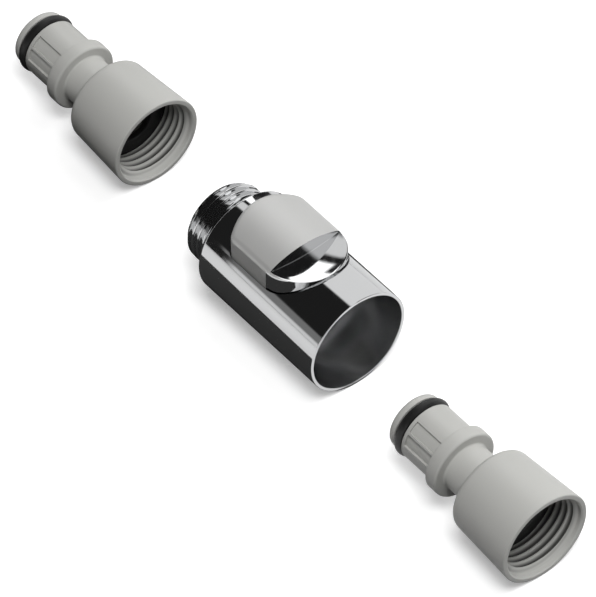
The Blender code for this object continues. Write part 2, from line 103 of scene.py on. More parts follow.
def arc(centre, radius, start, end, steps):
    """Points on a circle in the (depth, radius) plane, both ends included, angles in degrees."""
    points = []
    for step in range(steps + 1):
        turn = math.radians(start + (end - start) * step / steps)
        points.append((centre[0] + radius * math.cos(turn), centre[1] + radius * math.sin(turn)))
    return points


def screw_thread(start, end, root, depth, cones, turn):
    """One line of points along a helical thread, from root to root plus depth; cones cut its crests off."""
    turns = math.ceil((end - start) / THREAD_PITCH)
    points = []
    for index in range(-THREAD_POINTS, turns * THREAD_POINTS + 1):
        along = start + (index / THREAD_POINTS + turn / (2 * math.pi)) * THREAD_PITCH
        along = min(max(along, start), end)
        phase = (index / THREAD_POINTS) % 1.0
        flank = min(max(0.5 + THREAD_FLANK * (abs(2 * phase - 1) - 0.5), 0.0), 1.0)
        height = 0.5 - 0.5 * math.cos(math.pi * flank)
        points.append((along, cones(along, root + depth * height)))
    return points


def turned(name, outline_at, steps, screw=None):
    """A closed outline of (depth, radius) points turned about the X axis.

    Screw gives the outline's helical part as its first point, its last point, and how many points the
    outline moves on along it in one turn, so that the last column meets the first one turn further on.
    """
    shape = bmesh.new()
    columns = []
    for step in range(steps):
        turn = 2 * math.pi * step / steps
        columns.append([shape.verts.new((-depth, radius * math.sin(turn), radius * math.cos(turn)))
                        for depth, radius in outline_at(turn)])
    closing = list(columns[0])
    if screw:
        first, last, shift = screw
        for index in range(first, last + 1):
            closing[index] = columns[0][min(max(index + shift, first), last)]
    columns.append(closing)
    count = len(closing)
    for here, there in zip(columns, columns[1:]):
        for index in range(count):
            after = (index + 1) % count
            corners = [here[index], here[after], there[after], there[index]]
            shape.faces.new(list(dict.fromkeys(corners)))
    bmesh.ops.remove_doubles(shape, verts=shape.verts, dist=MERGE_DISTANCE)
    bmesh.ops.recalc_face_normals(shape, faces=shape.faces)
    return finished(name, shape)


def spigot_cones(along, radius):
    """The relief behind the shoulder and the chamfer at the free end cut the thread's crests off."""
    from_start = along - THREAD_START
    from_end = THREAD_END - along
    at_start = THREAD_ROOT + THREAD_END_SLOPE * from_start
    at_end = THREAD_ROOT + SPIGOT_CHAMFER_SLOPE * from_end
    return max(min(radius, at_start, at_end), THREAD_ROOT)


def socket_thread(turn):
    return screw_thread(THREAD_START, THREAD_END, THREAD_ROOT, THREAD_DEPTH, spigot_cones, turn)


def socket_outside():
    """The rim, the body's rear corner and the inner corner where the spigot begins."""
    outline = arc((RIM_ROUNDING, BODY_RADIUS - RIM_ROUNDING), RIM_ROUNDING, 180, 90, 4)
    outline += arc((BODY_LENGTH - REAR_ROUNDING, BODY_RADIUS - REAR_ROUNDING), REAR_ROUNDING, 90, 0, 8)
    outline += arc((BODY_LENGTH + EDGE_BREAK, THREAD_ROOT + EDGE_BREAK), EDGE_BREAK, 180, 270, 4)
    return outline


def socket_outline(turn):
    """Outside from the rim to the spigot's end, then back through the bores to the rim."""
    outline = socket_outside() + socket_thread(turn)
    outline += [
        (TOTAL_LENGTH, THREAD_ROOT - EDGE_BREAK),
        (TOTAL_LENGTH, SPIGOT_BORE_RADIUS + EDGE_BREAK),
        (TOTAL_LENGTH - EDGE_BREAK, SPIGOT_BORE_RADIUS),
        (PLUG_BORE_DEPTH, SPIGOT_BORE_RADIUS),
        (PLUG_BORE_DEPTH, PLUG_BORE_RADIUS),
        (COLLAR_SEAT_DEPTH + LEAD_IN_LENGTH, PLUG_BORE_RADIUS),
        (COLLAR_SEAT_DEPTH, PLUG_BORE_RADIUS + LEAD_IN_LENGTH / 3),
        (COLLAR_SEAT_DEPTH, COLLAR_BORE_RADIUS),
        (SLEEVE_DEPTH + EDGE_BREAK, COLLAR_BORE_RADIUS),
        (SLEEVE_DEPTH, COLLAR_BORE_RADIUS + EDGE_BREAK),
        (SLEEVE_DEPTH, SLEEVE_RADIUS),
    ]
    outline += arc((RIM_ROUNDING, SLEEVE_RADIUS + RIM_ROUNDING), RIM_ROUNDING, 270, 180, 4)
    return outline


BUTTON_HALF_WIDTH = 0.0104
BUTTON_FRONT_X = MOUTH_X - 0.0200
BUTTON_REAR_END_X = MOUTH_X - 0.0366
BUTTON_REAR_RADIUS = 0.0160
BUTTON_CORNER_RADIUS = 0.0022
BUTTON_REAR_X = BUTTON_REAR_END_X + BUTTON_REAR_RADIUS
WINDOW_GAP = 0.0003
WINDOW_FLOOR_TOP = 0.00975
WINDOW_FLOOR_SIDE = 0.0052
SPRING_X = MOUTH_X - 0.0275
SPRING_SPREAD = 0.0048
SPRING_RADIUS = 0.0016
SPRING_WIRE = 0.0002
SPRING_HOLE_RADIUS = SPRING_RADIUS + SPRING_WIRE + 0.0003
SPRING_HOLE_BOTTOM = AXIS_Z + 0.0076


def button_outline(grow):
    """The button from above as (x, y) points, anticlockwise, grown outwards all round by a clearance."""
    half = BUTTON_HALF_WIDTH + grow
    rear_radius = BUTTON_REAR_RADIUS + grow
    corner = BUTTON_CORNER_RADIUS + grow
    corner_y = half - corner
    corner_x = BUTTON_REAR_X - math.sqrt((rear_radius - corner) ** 2 - corner_y ** 2)
    lean = math.atan2(corner_y, BUTTON_REAR_X - corner_x)
    side_steps, corner_steps, rear_steps, front_steps = 24, 10, 40, 96
    points = []
    for step in range(front_steps + 1):
        turn = math.radians(-90 + 180 * step / front_steps)
        points.append((BUTTON_FRONT_X + half * math.cos(turn), half * math.sin(turn)))
    for step in range(1, side_steps):
        points.append((BUTTON_FRONT_X + (corner_x - BUTTON_FRONT_X) * step / side_steps, half))
    for step in range(corner_steps + 1):
        turn = math.pi / 2 + (math.pi / 2 - lean) * step / corner_steps
        points.append((corner_x + corner * math.cos(turn), corner_y + corner * math.sin(turn)))
    for step in range(1, rear_steps):
        turn = math.pi - lean + 2 * lean * step / rear_steps
        points.append((BUTTON_REAR_X + rear_radius * math.cos(turn), rear_radius * math.sin(turn)))
    for step in range(corner_steps + 1):
        turn = math.pi + lean + (math.pi / 2 - lean) * step / corner_steps
        points.append((corner_x + corner * math.cos(turn), -corner_y + corner * math.sin(turn)))
    for step in range(1, side_steps):
        points.append((corner_x + (BUTTON_FRONT_X - corner_x) * step / side_steps, -half))
    return points


def arch_height(y, top, side):
    """Height above the axis of an arch that drops from top in the middle to side at the flanks."""
    drop = top - side
    radius = (BUTTON_HALF_WIDTH ** 2 + drop ** 2) / (2 * drop)
    return top - radius + math.sqrt(radius ** 2 - y ** 2)


def window_floor(x, y):
    """The window's arched floor, the same along its whole length."""
    return AXIS_Z + arch_height(y, WINDOW_FLOOR_TOP, WINDOW_FLOOR_SIDE)


def button_block(name, grow, top, bottom, rounding):
    """A block with the button's outline and upright walls, between two height functions of (x, y)."""
    shape = bmesh.new()
    outline = button_outline(grow)
    spine_rear = BUTTON_REAR_END_X + BUTTON_HALF_WIDTH

    def ring(inset, height, drop):
        verts = []
        for x, y in outline:
            spine = Vector((min(max(x, spine_rear), BUTTON_FRONT_X), 0.0))
            edge = Vector((x, y))
            point = edge + (spine - edge) * min(inset / (edge - spine).length, 0.97)
            verts.append(shape.verts.new((point.x, point.y, height(point.x, point.y) - drop)))
        return verts

    shares = [0.97, 0.85, 0.7, 0.55, 0.4, 0.25, 0.12]
    rings = [ring(share * BUTTON_HALF_WIDTH, bottom, 0.0) for share in shares + [0.0]]
    rounding_steps = 8
    for step in range(rounding_steps + 1):
        turn = math.pi / 2 * step / rounding_steps
        rings.append(ring(rounding * (1 - math.cos(turn)), top, rounding * (1 - math.sin(turn))))
    past_rounding = 1.1 * rounding
    rings += [ring(max(share * BUTTON_HALF_WIDTH, past_rounding), top, 0.0) for share in reversed(shares)]
    count = len(outline)
    for lower, upper in zip(rings, rings[1:]):
        for index in range(count):
            after = (index + 1) % count
            shape.faces.new((lower[index], lower[after], upper[after], upper[index]))
    shape.faces.new(rings[0])
    shape.faces.new(rings[-1])
    bmesh.ops.remove_doubles(shape, verts=shape.verts, dist=MERGE_DISTANCE)
    bmesh.ops.recalc_face_normals(shape, faces=shape.faces)
    return finished(name, shape)


def upright_hole(name, x, y, low, high, radius):
    """A round cutter that stands upright."""
    shape = bmesh.new()
    bmesh.ops.create_cone(shape, cap_ends=True, segments=48, radius1=radius, radius2=radius, depth=high - low)
    bmesh.ops.translate(shape, verts=shape.verts, vec=(x, y, (low + high) / 2))
    return finished(name, shape)


def carve(piece, *cutters):
    """Cut each cutter out of the piece, keep the result as its mesh, and delete the cutters."""
    for cutter in cutters:
        boolean = piece.modifiers.new(cutter.name, "BOOLEAN")
        boolean.operation = "DIFFERENCE"
        boolean.solver = "EXACT"
        boolean.object = cutter
    bpy.context.view_layer.update()
    carved = bpy.data.meshes.new_from_object(piece.evaluated_get(bpy.context.evaluated_depsgraph_get()))
    piece.modifiers.clear()
    piece.data = carved
    for cutter in cutters:
        bpy.data.objects.remove(cutter, do_unlink=True)


def smooth(piece, sharp):
    """Smooth shading, broken at the edges where two faces meet at more than the sharp angle in degrees."""
    piece.data.shade_smooth()
    piece.data.set_sharp_from_angle(angle=math.radians(sharp))


thread_first = len(socket_outside())
thread_last = thread_first + len(socket_thread(0.0)) - 1
socket = turned("socket", socket_outline, BODY_STEPS, (thread_first, thread_last, THREAD_POINTS))
socket.location = (MOUTH_X, 0.0, AXIS_Z)
window = button_block("window", WINDOW_GAP, lambda x, y: AXIS_Z + 2 * BODY_RADIUS, window_floor, 0.0)
spring_holes = [upright_hole(f"spring_hole_{side}", SPRING_X, side * SPRING_SPREAD, SPRING_HOLE_BOTTOM,
                             AXIS_Z + BODY_RADIUS, SPRING_HOLE_RADIUS) for side in (1, -1)]
carve(socket, window, *spring_holes)
smooth(socket, 32)


def principled(name, colour, metallic, roughness):
    """A new material with a Principled shader, and the parts of its node tree."""
    made = bpy.data.materials.new(name)
    made.use_nodes = True
    nodes = made.node_tree.nodes
    shader = nodes["Principled BSDF"]
    shader.inputs["Base Color"].default_value = (*colour, 1.0)
    shader.inputs["Metallic"].default_value = metallic
    shader.inputs["Roughness"].default_value = roughness
    return made, nodes, made.node_tree.links, shader


def grain(nodes, links, scale, detail, low, high):
    """Noise in the piece's own coordinates, mapped to the range low to high; scale is per metre."""
    place = nodes.new("ShaderNodeTexCoord")
    noise = nodes.new("ShaderNodeTexNoise")
    noise.inputs["Scale"].default_value = scale
    noise.inputs["Detail"].default_value = detail
    spread = nodes.new("ShaderNodeMapRange")
    spread.inputs["From Min"].default_value = 0.3
    spread.inputs["From Max"].default_value = 0.7
    spread.inputs["To Min"].default_value = low
    spread.inputs["To Max"].default_value = high
    links.new(place.outputs["Object"], noise.inputs["Vector"])
    links.new(noise.outputs["Fac"], spread.inputs["Value"])
    return spread.outputs["Result"]


def relief(nodes, links, shader, height, strength, distance):
    """A bump of the given height signal on the shader's normal."""
    bump = nodes.new("ShaderNodeBump")
    bump.inputs["Strength"].default_value = strength
    bump.inputs["Distance"].default_value = distance
    links.new(height, bump.inputs["Height"])
    links.new(bump.outputs["Normal"], shader.inputs["Normal"])


def axis_places(nodes, links):
    """How far a point of a turned piece lies along its axis, and how far from it."""
    place = nodes.new("ShaderNodeTexCoord")
    along = nodes.new("ShaderNodeSeparateXYZ")
    across = nodes.new("ShaderNodeVectorMath")
    across.operation = "MULTIPLY"
    across.inputs[1].default_value = (0.0, 1.0, 1.0)
    radius = nodes.new("ShaderNodeVectorMath")
    radius.operation = "LENGTH"
    links.new(place.outputs["Object"], along.inputs["Vector"])
    links.new(place.outputs["Object"], across.inputs[0])
    links.new(across.outputs["Vector"], radius.inputs[0])
    return along.outputs["X"], radius.outputs["Value"]


def where_all(nodes, links, limits):
    """One where every given value is past its limit, as (value, none at, full at), and nought elsewhere."""
    everywhere = None
    for value, none_at, full_at in limits:
        mask = nodes.new("ShaderNodeMapRange")
        mask.inputs["From Min"].default_value = none_at
        mask.inputs["From Max"].default_value = full_at
        links.new(value, mask.inputs["Value"])
        if everywhere is None:
            everywhere = mask.outputs["Result"]
            continue
        both = nodes.new("ShaderNodeMath")
        both.operation = "MULTIPLY"
        links.new(everywhere, both.inputs[0])
        links.new(mask.outputs["Result"], both.inputs[1])
        everywhere = both.outputs["Value"]
    return everywhere


def polished_chrome():
    """Mirror chrome, faintly wavy as buffed brass is; the bores are plated but not buffed."""
    made, nodes, links, shader = principled("polished_chrome", (0.66, 0.665, 0.67), 1.0, 0.06)
    along, radius = axis_places(nodes, links)
    bored = where_all(nodes, links, (
        (radius, SLEEVE_RADIUS + 0.0002, SLEEVE_RADIUS + 0.0001),
        (along, -COLLAR_SEAT_DEPTH, -COLLAR_SEAT_DEPTH + 0.0001)))
    finish = nodes.new("ShaderNodeMix")
    links.new(bored, finish.inputs["Factor"])
    links.new(grain(nodes, links, 700, 4, 0.035, 0.085), finish.inputs["A"])
    links.new(grain(nodes, links, 900, 3, 0.262, 0.27), finish.inputs["B"])
    links.new(finish.outputs["Result"], shader.inputs["Roughness"])
    relief(nodes, links, shader, grain(nodes, links, 350, 2, 0, 1), 0.015, 0.00002)
    return made


chrome = polished_chrome()
socket.data.materials.clear()
socket.data.materials.append(chrome)
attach(socket, "coupling")
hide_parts("socket_body")


# Release button
# A cast slide with a satin chrome top. Its front end is scooped into a polished dish for the thumb.
# It drops into the window from above, floats on two springs and is pressed 2 mm to let a nipple go.

BUTTON_CROWN = 0.0167
BUTTON_EDGE = 0.01405
BUTTON_ROUNDING = 0.0011
BUTTON_TRAVEL = 0.0020
BUTTON_LIFT = BUTTON_TRAVEL + 0.0003
ARCH_X = MOUTH_X - 0.0189
DISH_LIP = 0.0003
DISH_OVERREACH = 0.0004
DISH_CROWDING = 1.8
DISH_DEPTH = 0.0011
DISH_SWEEP = 0.02
LEAST_SWEEP = 1e-6
LATCH_FRONT_X = MOUTH_X - 0.0165
LATCH_THICKNESS = 0.0018
EAR_INNER = 0.0070
EAR_WIDTH = 0.0019
EAR_RISE = 0.0018
SEAT_GAP = 0.0003
SPRING_TOP = 0.027575
FRONT_WALL_SLOPE = 0.3


def crown(x, y):
    """The button's arched top."""
    return AXIS_Z + arch_height(min(abs(y), BUTTON_HALF_WIDTH), BUTTON_CROWN, BUTTON_EDGE)


def dish_height(x, y):
    """The dish is a shallow bowl; a small fillet leads up into the upright end of the button's ridge."""
    lip = BUTTON_HALF_WIDTH - DISH_LIP
    outward = min(math.hypot(x - BUTTON_FRONT_X, y) / lip, 1.0)
    height = BUTTON_EDGE - DISH_DEPTH * (1 - outward ** 2)
    sweep = max(DISH_SWEEP * (crown(x, y) - AXIS_Z - height), LEAST_SWEEP)
    from_wall = x - ARCH_X
    if from_wall < sweep:
        height += sweep - math.sqrt(sweep ** 2 - (sweep - from_wall) ** 2)
    return AXIS_Z + height


def dish_cutter():
    """Everything over the dish and its lip, from the arched end forwards; it leaves polished faces."""
    shape = bmesh.new()
    reach = BUTTON_HALF_WIDTH + DISH_OVERREACH
    front_x = BUTTON_FRONT_X + reach
    rows, columns = 96, 72
    places = [ARCH_X + (front_x - ARCH_X) * (column / columns) ** DISH_CROWDING
              for column in range(columns + 1)]
    floor_rows, roof_rows = [], []
    for row in range(rows + 1):
        y = reach * math.sin(math.radians(-90 + 180 * row / rows))
        floor_rows.append([shape.verts.new((x, y, dish_height(x, y))) for x in places])
        roof_rows.append([shape.verts.new((x, y, AXIS_Z + 2 * BODY_RADIUS)) for x in places])
    for sheet in (floor_rows, roof_rows):
        for row in range(rows):
            for column in range(columns):
                shape.faces.new((sheet[row][column], sheet[row][column + 1],
                                 sheet[row + 1][column + 1], sheet[row + 1][column]))
    for row in range(rows):
        for column in (0, columns):
            shape.faces.new((floor_rows[row][column], floor_rows[row + 1][column],
                             roof_rows[row + 1][column], roof_rows[row][column]))
    for row in (0, rows):
        for column in range(columns):
            shape.faces.new((floor_rows[row][column], floor_rows[row][column + 1],
                             roof_rows[row][column + 1], roof_rows[row][column]))
    bmesh.ops.recalc_face_normals(shape, faces=shape.faces)
    made = finished("dish", shape)
    made.data.polygons.foreach_set("material_index", [1] * len(made.data.polygons))
    return made


def block_cutter(name, low, high):
    """A plain box cutter between two corners."""
    shape = bmesh.new()
    size = Vector(high) - Vector(low)
    centre = (Vector(high) + Vector(low)) / 2
    bmesh.ops.create_cube(shape, size=1.0, matrix=Matrix.Translation(centre) @ Matrix.Diagonal((*size, 1.0)))
    return finished(name, shape)


def satin_chrome():
    """Satin chrome: bead-blasted under the plating, so it glows softly instead of mirroring."""
    made, nodes, links, shader = principled("satin_chrome", (0.57, 0.57, 0.56), 0.4, 0.40)
    links.new(grain(nodes, links, 900, 5, 0.36, 0.44), shader.inputs["Roughness"])
    relief(nodes, links, shader, grain(nodes, links, 16000, 2, 0, 1), 0.12, 0.00002)
    return made


ear_top = AXIS_Z + arch_height(EAR_INNER + EAR_WIDTH / 2, WINDOW_FLOOR_TOP, WINDOW_FLOOR_SIDE)
ear_top += BUTTON_LIFT + EAR_RISE
button = button_block("button", 0.0, crown, lambda x, y: window_floor(x, y) + BUTTON_LIFT, BUTTON_ROUNDING)
button.data.materials.append(satin_chrome())
button.data.materials.append(chrome)
cutters = [dish_cutter()]
for side in (1, -1):
    near, far = sorted((side * (EAR_INNER - SEAT_GAP), side * (EAR_INNER + EAR_WIDTH + SEAT_GAP)))
    cutters.append(block_cutter(f"ear_slot_{side}",
                                (LATCH_FRONT_X - LATCH_THICKNESS - SEAT_GAP, near, AXIS_Z),
                                (LATCH_FRONT_X + SEAT_GAP, far, ear_top + SEAT_GAP)))
    cutters.append(upright_hole(f"button_hole_{side}", SPRING_X, side * SPRING_SPREAD, AXIS_Z,
                                SPRING_TOP + SEAT_GAP, SPRING_HOLE_RADIUS))
carve(button, *cutters)
for face in button.data.polygons:
    if face.center.x > BUTTON_FRONT_X and abs(face.normal.z) < FRONT_WALL_SLOPE:
        face.material_index = 1
smooth(button, 25)
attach(button, "release")
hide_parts("release_button")


# Latch plate
# A stamped plate of stainless steel that hangs from the button by two ears in its slots. The lower
# edge of its raised hole drops behind a nipple's collar; pressing the button lowers it clear.

def stainless():
    """Stainless steel with the fine streaks that rolling leaves."""
    made, nodes, links, shader = principled("stainless", (0.50, 0.50, 0.51), 1.0, 0.3)
    links.new(grain(nodes, links, 2500, 4, 0.24, 0.38), shader.inputs["Roughness"])
    return made


steel = stainless()
latch_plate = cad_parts["latch_plate"]
latch_plate.data.materials.clear()
latch_plate.data.materials.append(steel)


# Button springs
# Two small coil springs of stainless wire, closed at both ends, stand in blind holes of the socket
# and of the button. They push the button up until the latch plate's shoulders stop it.

SPRING_TURNS = 6
SPRING_STEPS = 32
CLOSED_TURN_RISE = 2.6 * SPRING_WIRE


def coil(name, side):
    """A round wire wound up a helix that is closed over its first and last turn."""
    low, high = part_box(name)
    bottom = low.z + SPRING_WIRE
    top = high.z - SPRING_WIRE
    closed = CLOSED_TURN_RISE
    pitch = (top - bottom - 2 * closed) / (SPRING_TURNS - 2)
    curve = bpy.data.curves.new(f"spring_{side}", "CURVE")
    curve.dimensions = "3D"
    curve.bevel_depth = SPRING_WIRE
    curve.bevel_resolution = 3
    curve.use_fill_caps = True
    line = curve.splines.new("POLY")
    count = SPRING_TURNS * SPRING_STEPS + 1
    line.points.add(count - 1)
    for index in range(count):
        turns = index / SPRING_STEPS
        open_turns = min(max(turns - 1, 0.0), SPRING_TURNS - 2)
        height = bottom + closed * min(turns, 1.0) + pitch * open_turns
        height += closed * max(turns - (SPRING_TURNS - 1), 0.0)
        angle = 2 * math.pi * turns
        line.points[index].co = (SPRING_X + SPRING_RADIUS * math.cos(angle),
                                 (low.y + high.y) / 2 + SPRING_RADIUS * math.sin(angle), height, 1.0)
    wire = bpy.data.objects.new(f"spring_{side}", curve)
    bpy.context.scene.collection.objects.link(wire)
    bpy.context.view_layer.update()
    mesh = bpy.data.meshes.new_from_object(wire.evaluated_get(bpy.context.evaluated_depsgraph_get()))
    bpy.data.objects.remove(wire)
    made = bpy.data.objects.new(f"spring_{side}", mesh)
    bpy.context.scene.collection.objects.link(made)
    mesh.materials.append(steel)
    mesh.shade_smooth()
    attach(made, "coupling")
    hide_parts(name)
    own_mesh(made)


coil("button_spring_left", "left")
coil("button_spring_right", "right")


# Plug nipples
# Two alike mouldings of grey acetal. The cup screws on a G 1/2 thread, the collar behind the neck is
# what the latch holds, and the plug is cored out on both flanks so that it cools without sinking.

CUP_RADIUS = 0.01195
CUP_BACK_RADIUS = 0.01090
CUP_LENGTH = 0.0195
CUP_BACK_ROUNDING = 0.0019
CUP_LAND = 0.0012
CUP_SEAT_DEPTH = 0.0106
SEAT_RELIEF = 0.0006
CUP_RIM_ROUNDING = 0.0003
CUP_WELL_RADIUS = 0.0056
CUP_WELL_DEPTH = 0.0152
NECK_RADIUS = 0.00605
NECK_LENGTH = 0.0077
NECK_FILLET = 0.0005
COLLAR_RADIUS = 0.00865
COLLAR_LENGTH = 0.0034
COLLAR_BEVEL = 0.0006
PLUG_RADIUS = 0.0073
PLUG_LENGTH = 0.0147
NOSE_LENGTH = 0.0020
NOSE_RADIUS = 0.0071
NOSE_ROUNDING = 0.0011
NIPPLE_BORE_RADIUS = 0.0040
NIPPLE_LENGTH = CUP_LENGTH + NECK_LENGTH + COLLAR_LENGTH + PLUG_LENGTH
ORING_SECTION = 0.0025
ORING_STAND = 0.00045
ORING_GAP = 0.0002
NIPPLE_STEPS = 240
POCKET_DEPTH = 0.0006
POCKET_MARGIN = 0.0009
POCKET_HALF_ANGLE = math.radians(27)
POCKET_ROLL = math.radians(35)
POCKET_RIB_WIDTH = 0.0005
WASHER_BORE_RADIUS = 0.0052
WASHER_ROUNDING = 0.00035
ACETAL_GREY = (0.46, 0.46, 0.44, 1.0)
# The next tone is painted shade for the cup's thread grooves, darker than the acetal itself.
GROOVE_PAINTED_SHADE = (0.07, 0.07, 0.066, 1.0)


def cup_cones(along, radius):
    """The entry chamfer at the mouth and the relief at the seat open the thread out to its full width."""
    from_mouth = max(along - CUP_LAND, 0.0)
    from_seat = max(CUP_SEAT_DEPTH - SEAT_RELIEF - along, 0.0)
    widened = max(radius, THREAD_RADIUS - THREAD_END_SLOPE * min(from_mouth, from_seat))
    return min(widened, THREAD_RADIUS)


def cup_thread(turn):
    return screw_thread(CUP_LAND, CUP_SEAT_DEPTH, THREAD_RADIUS, -THREAD_DEPTH, cup_cones, turn)


def nipple_outline(turn):
    """Outside from the cup's mouth to the nose, then back through the bore and the thread."""
    collar_near = CUP_LENGTH + NECK_LENGTH
    collar_far = collar_near + COLLAR_LENGTH
    groove_far = NIPPLE_LENGTH - NOSE_LENGTH
    groove_near = groove_far - ORING_SECTION - 2 * ORING_GAP
    groove_radius = PLUG_RADIUS + ORING_STAND - ORING_SECTION - ORING_GAP
    rim = CUP_RIM_ROUNDING
    back = (CUP_LENGTH - CUP_BACK_ROUNDING, CUP_BACK_RADIUS - CUP_BACK_ROUNDING)
    soft = EDGE_BREAK
    points = arc((rim, CUP_RADIUS - rim), rim, 180, 90, 4)
    points += arc(back, CUP_BACK_ROUNDING, 84, 0, 10)
    points += arc((CUP_LENGTH + NECK_FILLET, NECK_RADIUS + NECK_FILLET), NECK_FILLET, 180, 270, 5)
    points += arc((collar_near - NECK_FILLET, NECK_RADIUS + NECK_FILLET), NECK_FILLET, 270, 360, 5)
    points += arc((collar_near + COLLAR_BEVEL, COLLAR_RADIUS - COLLAR_BEVEL), COLLAR_BEVEL, 180, 90, 6)
    points += arc((collar_far - soft, COLLAR_RADIUS - soft), soft, 90, 30, 3)
    points += arc((collar_far + COLLAR_BEVEL, PLUG_RADIUS + COLLAR_BEVEL), COLLAR_BEVEL, 210, 270, 5)
    points += arc((groove_near - soft / 2, PLUG_RADIUS - soft / 2), soft / 2, 90, 0, 3)
    points += [(groove_near, groove_radius), (groove_far, groove_radius)]
    points += arc((groove_far + soft / 2, NOSE_RADIUS - soft / 2), soft / 2, 180, 90, 3)
    points += arc((NIPPLE_LENGTH - NOSE_ROUNDING, NOSE_RADIUS - NOSE_ROUNDING), NOSE_ROUNDING, 90, 0, 6)
    points += [
        (NIPPLE_LENGTH, NIPPLE_BORE_RADIUS + EDGE_BREAK),
        (NIPPLE_LENGTH - EDGE_BREAK, NIPPLE_BORE_RADIUS),
        (CUP_WELL_DEPTH + CUP_WELL_RADIUS - NIPPLE_BORE_RADIUS, NIPPLE_BORE_RADIUS),
        (CUP_WELL_DEPTH, CUP_WELL_RADIUS),
        (CUP_SEAT_DEPTH, CUP_WELL_RADIUS),
    ]
    points += reversed(cup_thread(turn))
    points += [(rim, THREAD_RADIUS + 0.3 * rim), (0.0, THREAD_RADIUS + 1.3 * rim)]
    return points


def flank_pocket(name, side, start_angle, end_angle):
    """A wedge of a thick tube; it cuts a shallow recess into the plug's flank."""
    shape = bmesh.new()
    near = CUP_LENGTH + NECK_LENGTH + COLLAR_LENGTH + COLLAR_BEVEL
    far = NIPPLE_LENGTH - NOSE_LENGTH - ORING_SECTION - 2 * ORING_GAP - POCKET_MARGIN
    steps = 24
    rows = []
    for depth, radius in ((near, PLUG_RADIUS - POCKET_DEPTH), (near, COLLAR_RADIUS),
                          (far, COLLAR_RADIUS), (far, PLUG_RADIUS - POCKET_DEPTH)):
        turns = [start_angle + (end_angle - start_angle) * step / steps for step in range(steps + 1)]
        rows.append([shape.verts.new((-depth, side * radius * math.cos(turn), radius * math.sin(turn)))
                     for turn in turns])
    for first, second in zip(rows, rows[1:] + rows[:1]):
        for step in range(steps):
            shape.faces.new((first[step], first[step + 1], second[step + 1], second[step]))
    for end in (0, steps):
        shape.faces.new([row[end] for row in rows])
    bmesh.ops.recalc_face_normals(shape, faces=shape.faces)
    return finished(name, shape)


def grey_acetal():
    """Grey moulded acetal with a faint mould grain.

    The thread grooves are painted darker than the plastic, because this light alone leaves them paler
    than they are in the photograph.
    """
    made, nodes, links, shader = principled("grey_acetal", ACETAL_GREY[:3], 0.0, 0.42)
    along, radius = axis_places(nodes, links)
    # Painted shade: this mask finds the thread grooves, and their colour is mixed towards a dark grey that
    # stands in for the shade in them.
    groove_shade_mask = where_all(nodes, links, (
        (radius, THREAD_ROOT + 0.0003, THREAD_RADIUS - 0.0002),
        (radius, THREAD_RADIUS + 0.0003, THREAD_RADIUS + 0.0002),
        (along, -CUP_LAND - 0.0004, -CUP_LAND - 0.0008),
        (along, -CUP_SEAT_DEPTH - 0.0001, -CUP_SEAT_DEPTH + 0.0001)))
    tint = nodes.new("ShaderNodeMix")
    tint.data_type = "RGBA"
    tint.inputs["A"].default_value = ACETAL_GREY
    tint.inputs["B"].default_value = GROOVE_PAINTED_SHADE
    links.new(groove_shade_mask, tint.inputs["Factor"])
    links.new(tint.outputs["Result"], shader.inputs["Base Color"])
    links.new(grain(nodes, links, 1200, 4, 0.36, 0.48), shader.inputs["Roughness"])
    relief(nodes, links, shader, grain(nodes, links, 7000, 3, 0, 1), 0.10, 0.00003)
    return made


def black_rubber():
    """Black nitrile rubber with a soft sheen and the dust-fine roughness of moulded rings."""
    made, nodes, links, shader = principled("black_rubber", (0.012, 0.012, 0.012), 0.0, 0.42)
    links.new(grain(nodes, links, 2500, 4, 0.34, 0.52), shader.inputs["Roughness"])
    relief(nodes, links, shader, grain(nodes, links, 9000, 2, 0, 1), 0.10, 0.00003)
    return made


acetal = grey_acetal()
rubber = black_rubber()


def plug_nipple(label):
    """One nipple with its O-ring and its washer, in the place that the frame gives it."""
    low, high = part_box(f"nipple_{label}")
    place = Vector((high.x, (low.y + high.y) / 2, (low.z + high.z) / 2))
    nipple = turned(f"nipple_{label}_moulding", nipple_outline, NIPPLE_STEPS, nipple_screw)
    nipple.location = place
    rib = math.asin(POCKET_RIB_WIDTH / 2 / PLUG_RADIUS)
    pockets = []
    for side in (1, -1):
        for start, end in ((-POCKET_HALF_ANGLE, -rib), (rib, POCKET_HALF_ANGLE)):
            pocket = flank_pocket(f"pocket_{side}_{start:.1f}", side, start, end)
            pocket.location = place
            pocket.rotation_euler.x = -POCKET_ROLL
            pockets.append(pocket)
    carve(nipple, *pockets)
    smooth(nipple, 32)
    nipple.data.materials.clear()
    nipple.data.materials.append(acetal)
    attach(nipple, "coupling")
    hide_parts(f"nipple_{label}")

    ring_centre = (NIPPLE_LENGTH - NOSE_LENGTH - ORING_GAP - ORING_SECTION / 2,
                   PLUG_RADIUS + ORING_STAND - ORING_SECTION / 2)
    ring_section = arc(ring_centre, ORING_SECTION / 2, 0, 360, 32)[:-1]
    ring = turned(f"seal_{label}", lambda turn: ring_section, NIPPLE_STEPS)
    ring.location = place
    washer_low, washer_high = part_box(f"washer_{label}")
    near = high.x - washer_high.x
    far = high.x - washer_low.x
    outer = (washer_high.y - washer_low.y) / 2
    soft = WASHER_ROUNDING
    section = arc((near + soft, WASHER_BORE_RADIUS + soft), soft, 270, 180, 4)
    section += arc((near + soft, outer - soft), soft, 180, 90, 4)
    section += arc((far - soft, outer - soft), soft, 90, 0, 4)
    section += arc((far - soft, WASHER_BORE_RADIUS + soft), soft, 0, -90, 4)
    washer = turned(f"gasket_{label}", lambda turn: section, NIPPLE_STEPS)
    washer.location = place
    for piece, node in ((ring, f"o_ring_{label}"), (washer, f"washer_{label}")):
        piece.data.materials.append(rubber)
        piece.data.shade_smooth()
        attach(piece, "coupling")
        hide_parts(node)


mouth_points = 2
nipple_thread_last = len(nipple_outline(0.0)) - mouth_points - 1
nipple_thread_first = nipple_thread_last - len(cup_thread(0.0)) + 1
nipple_screw = (nipple_thread_first, nipple_thread_last, -THREAD_POINTS)
plug_nipple("rear")
plug_nipple("front")


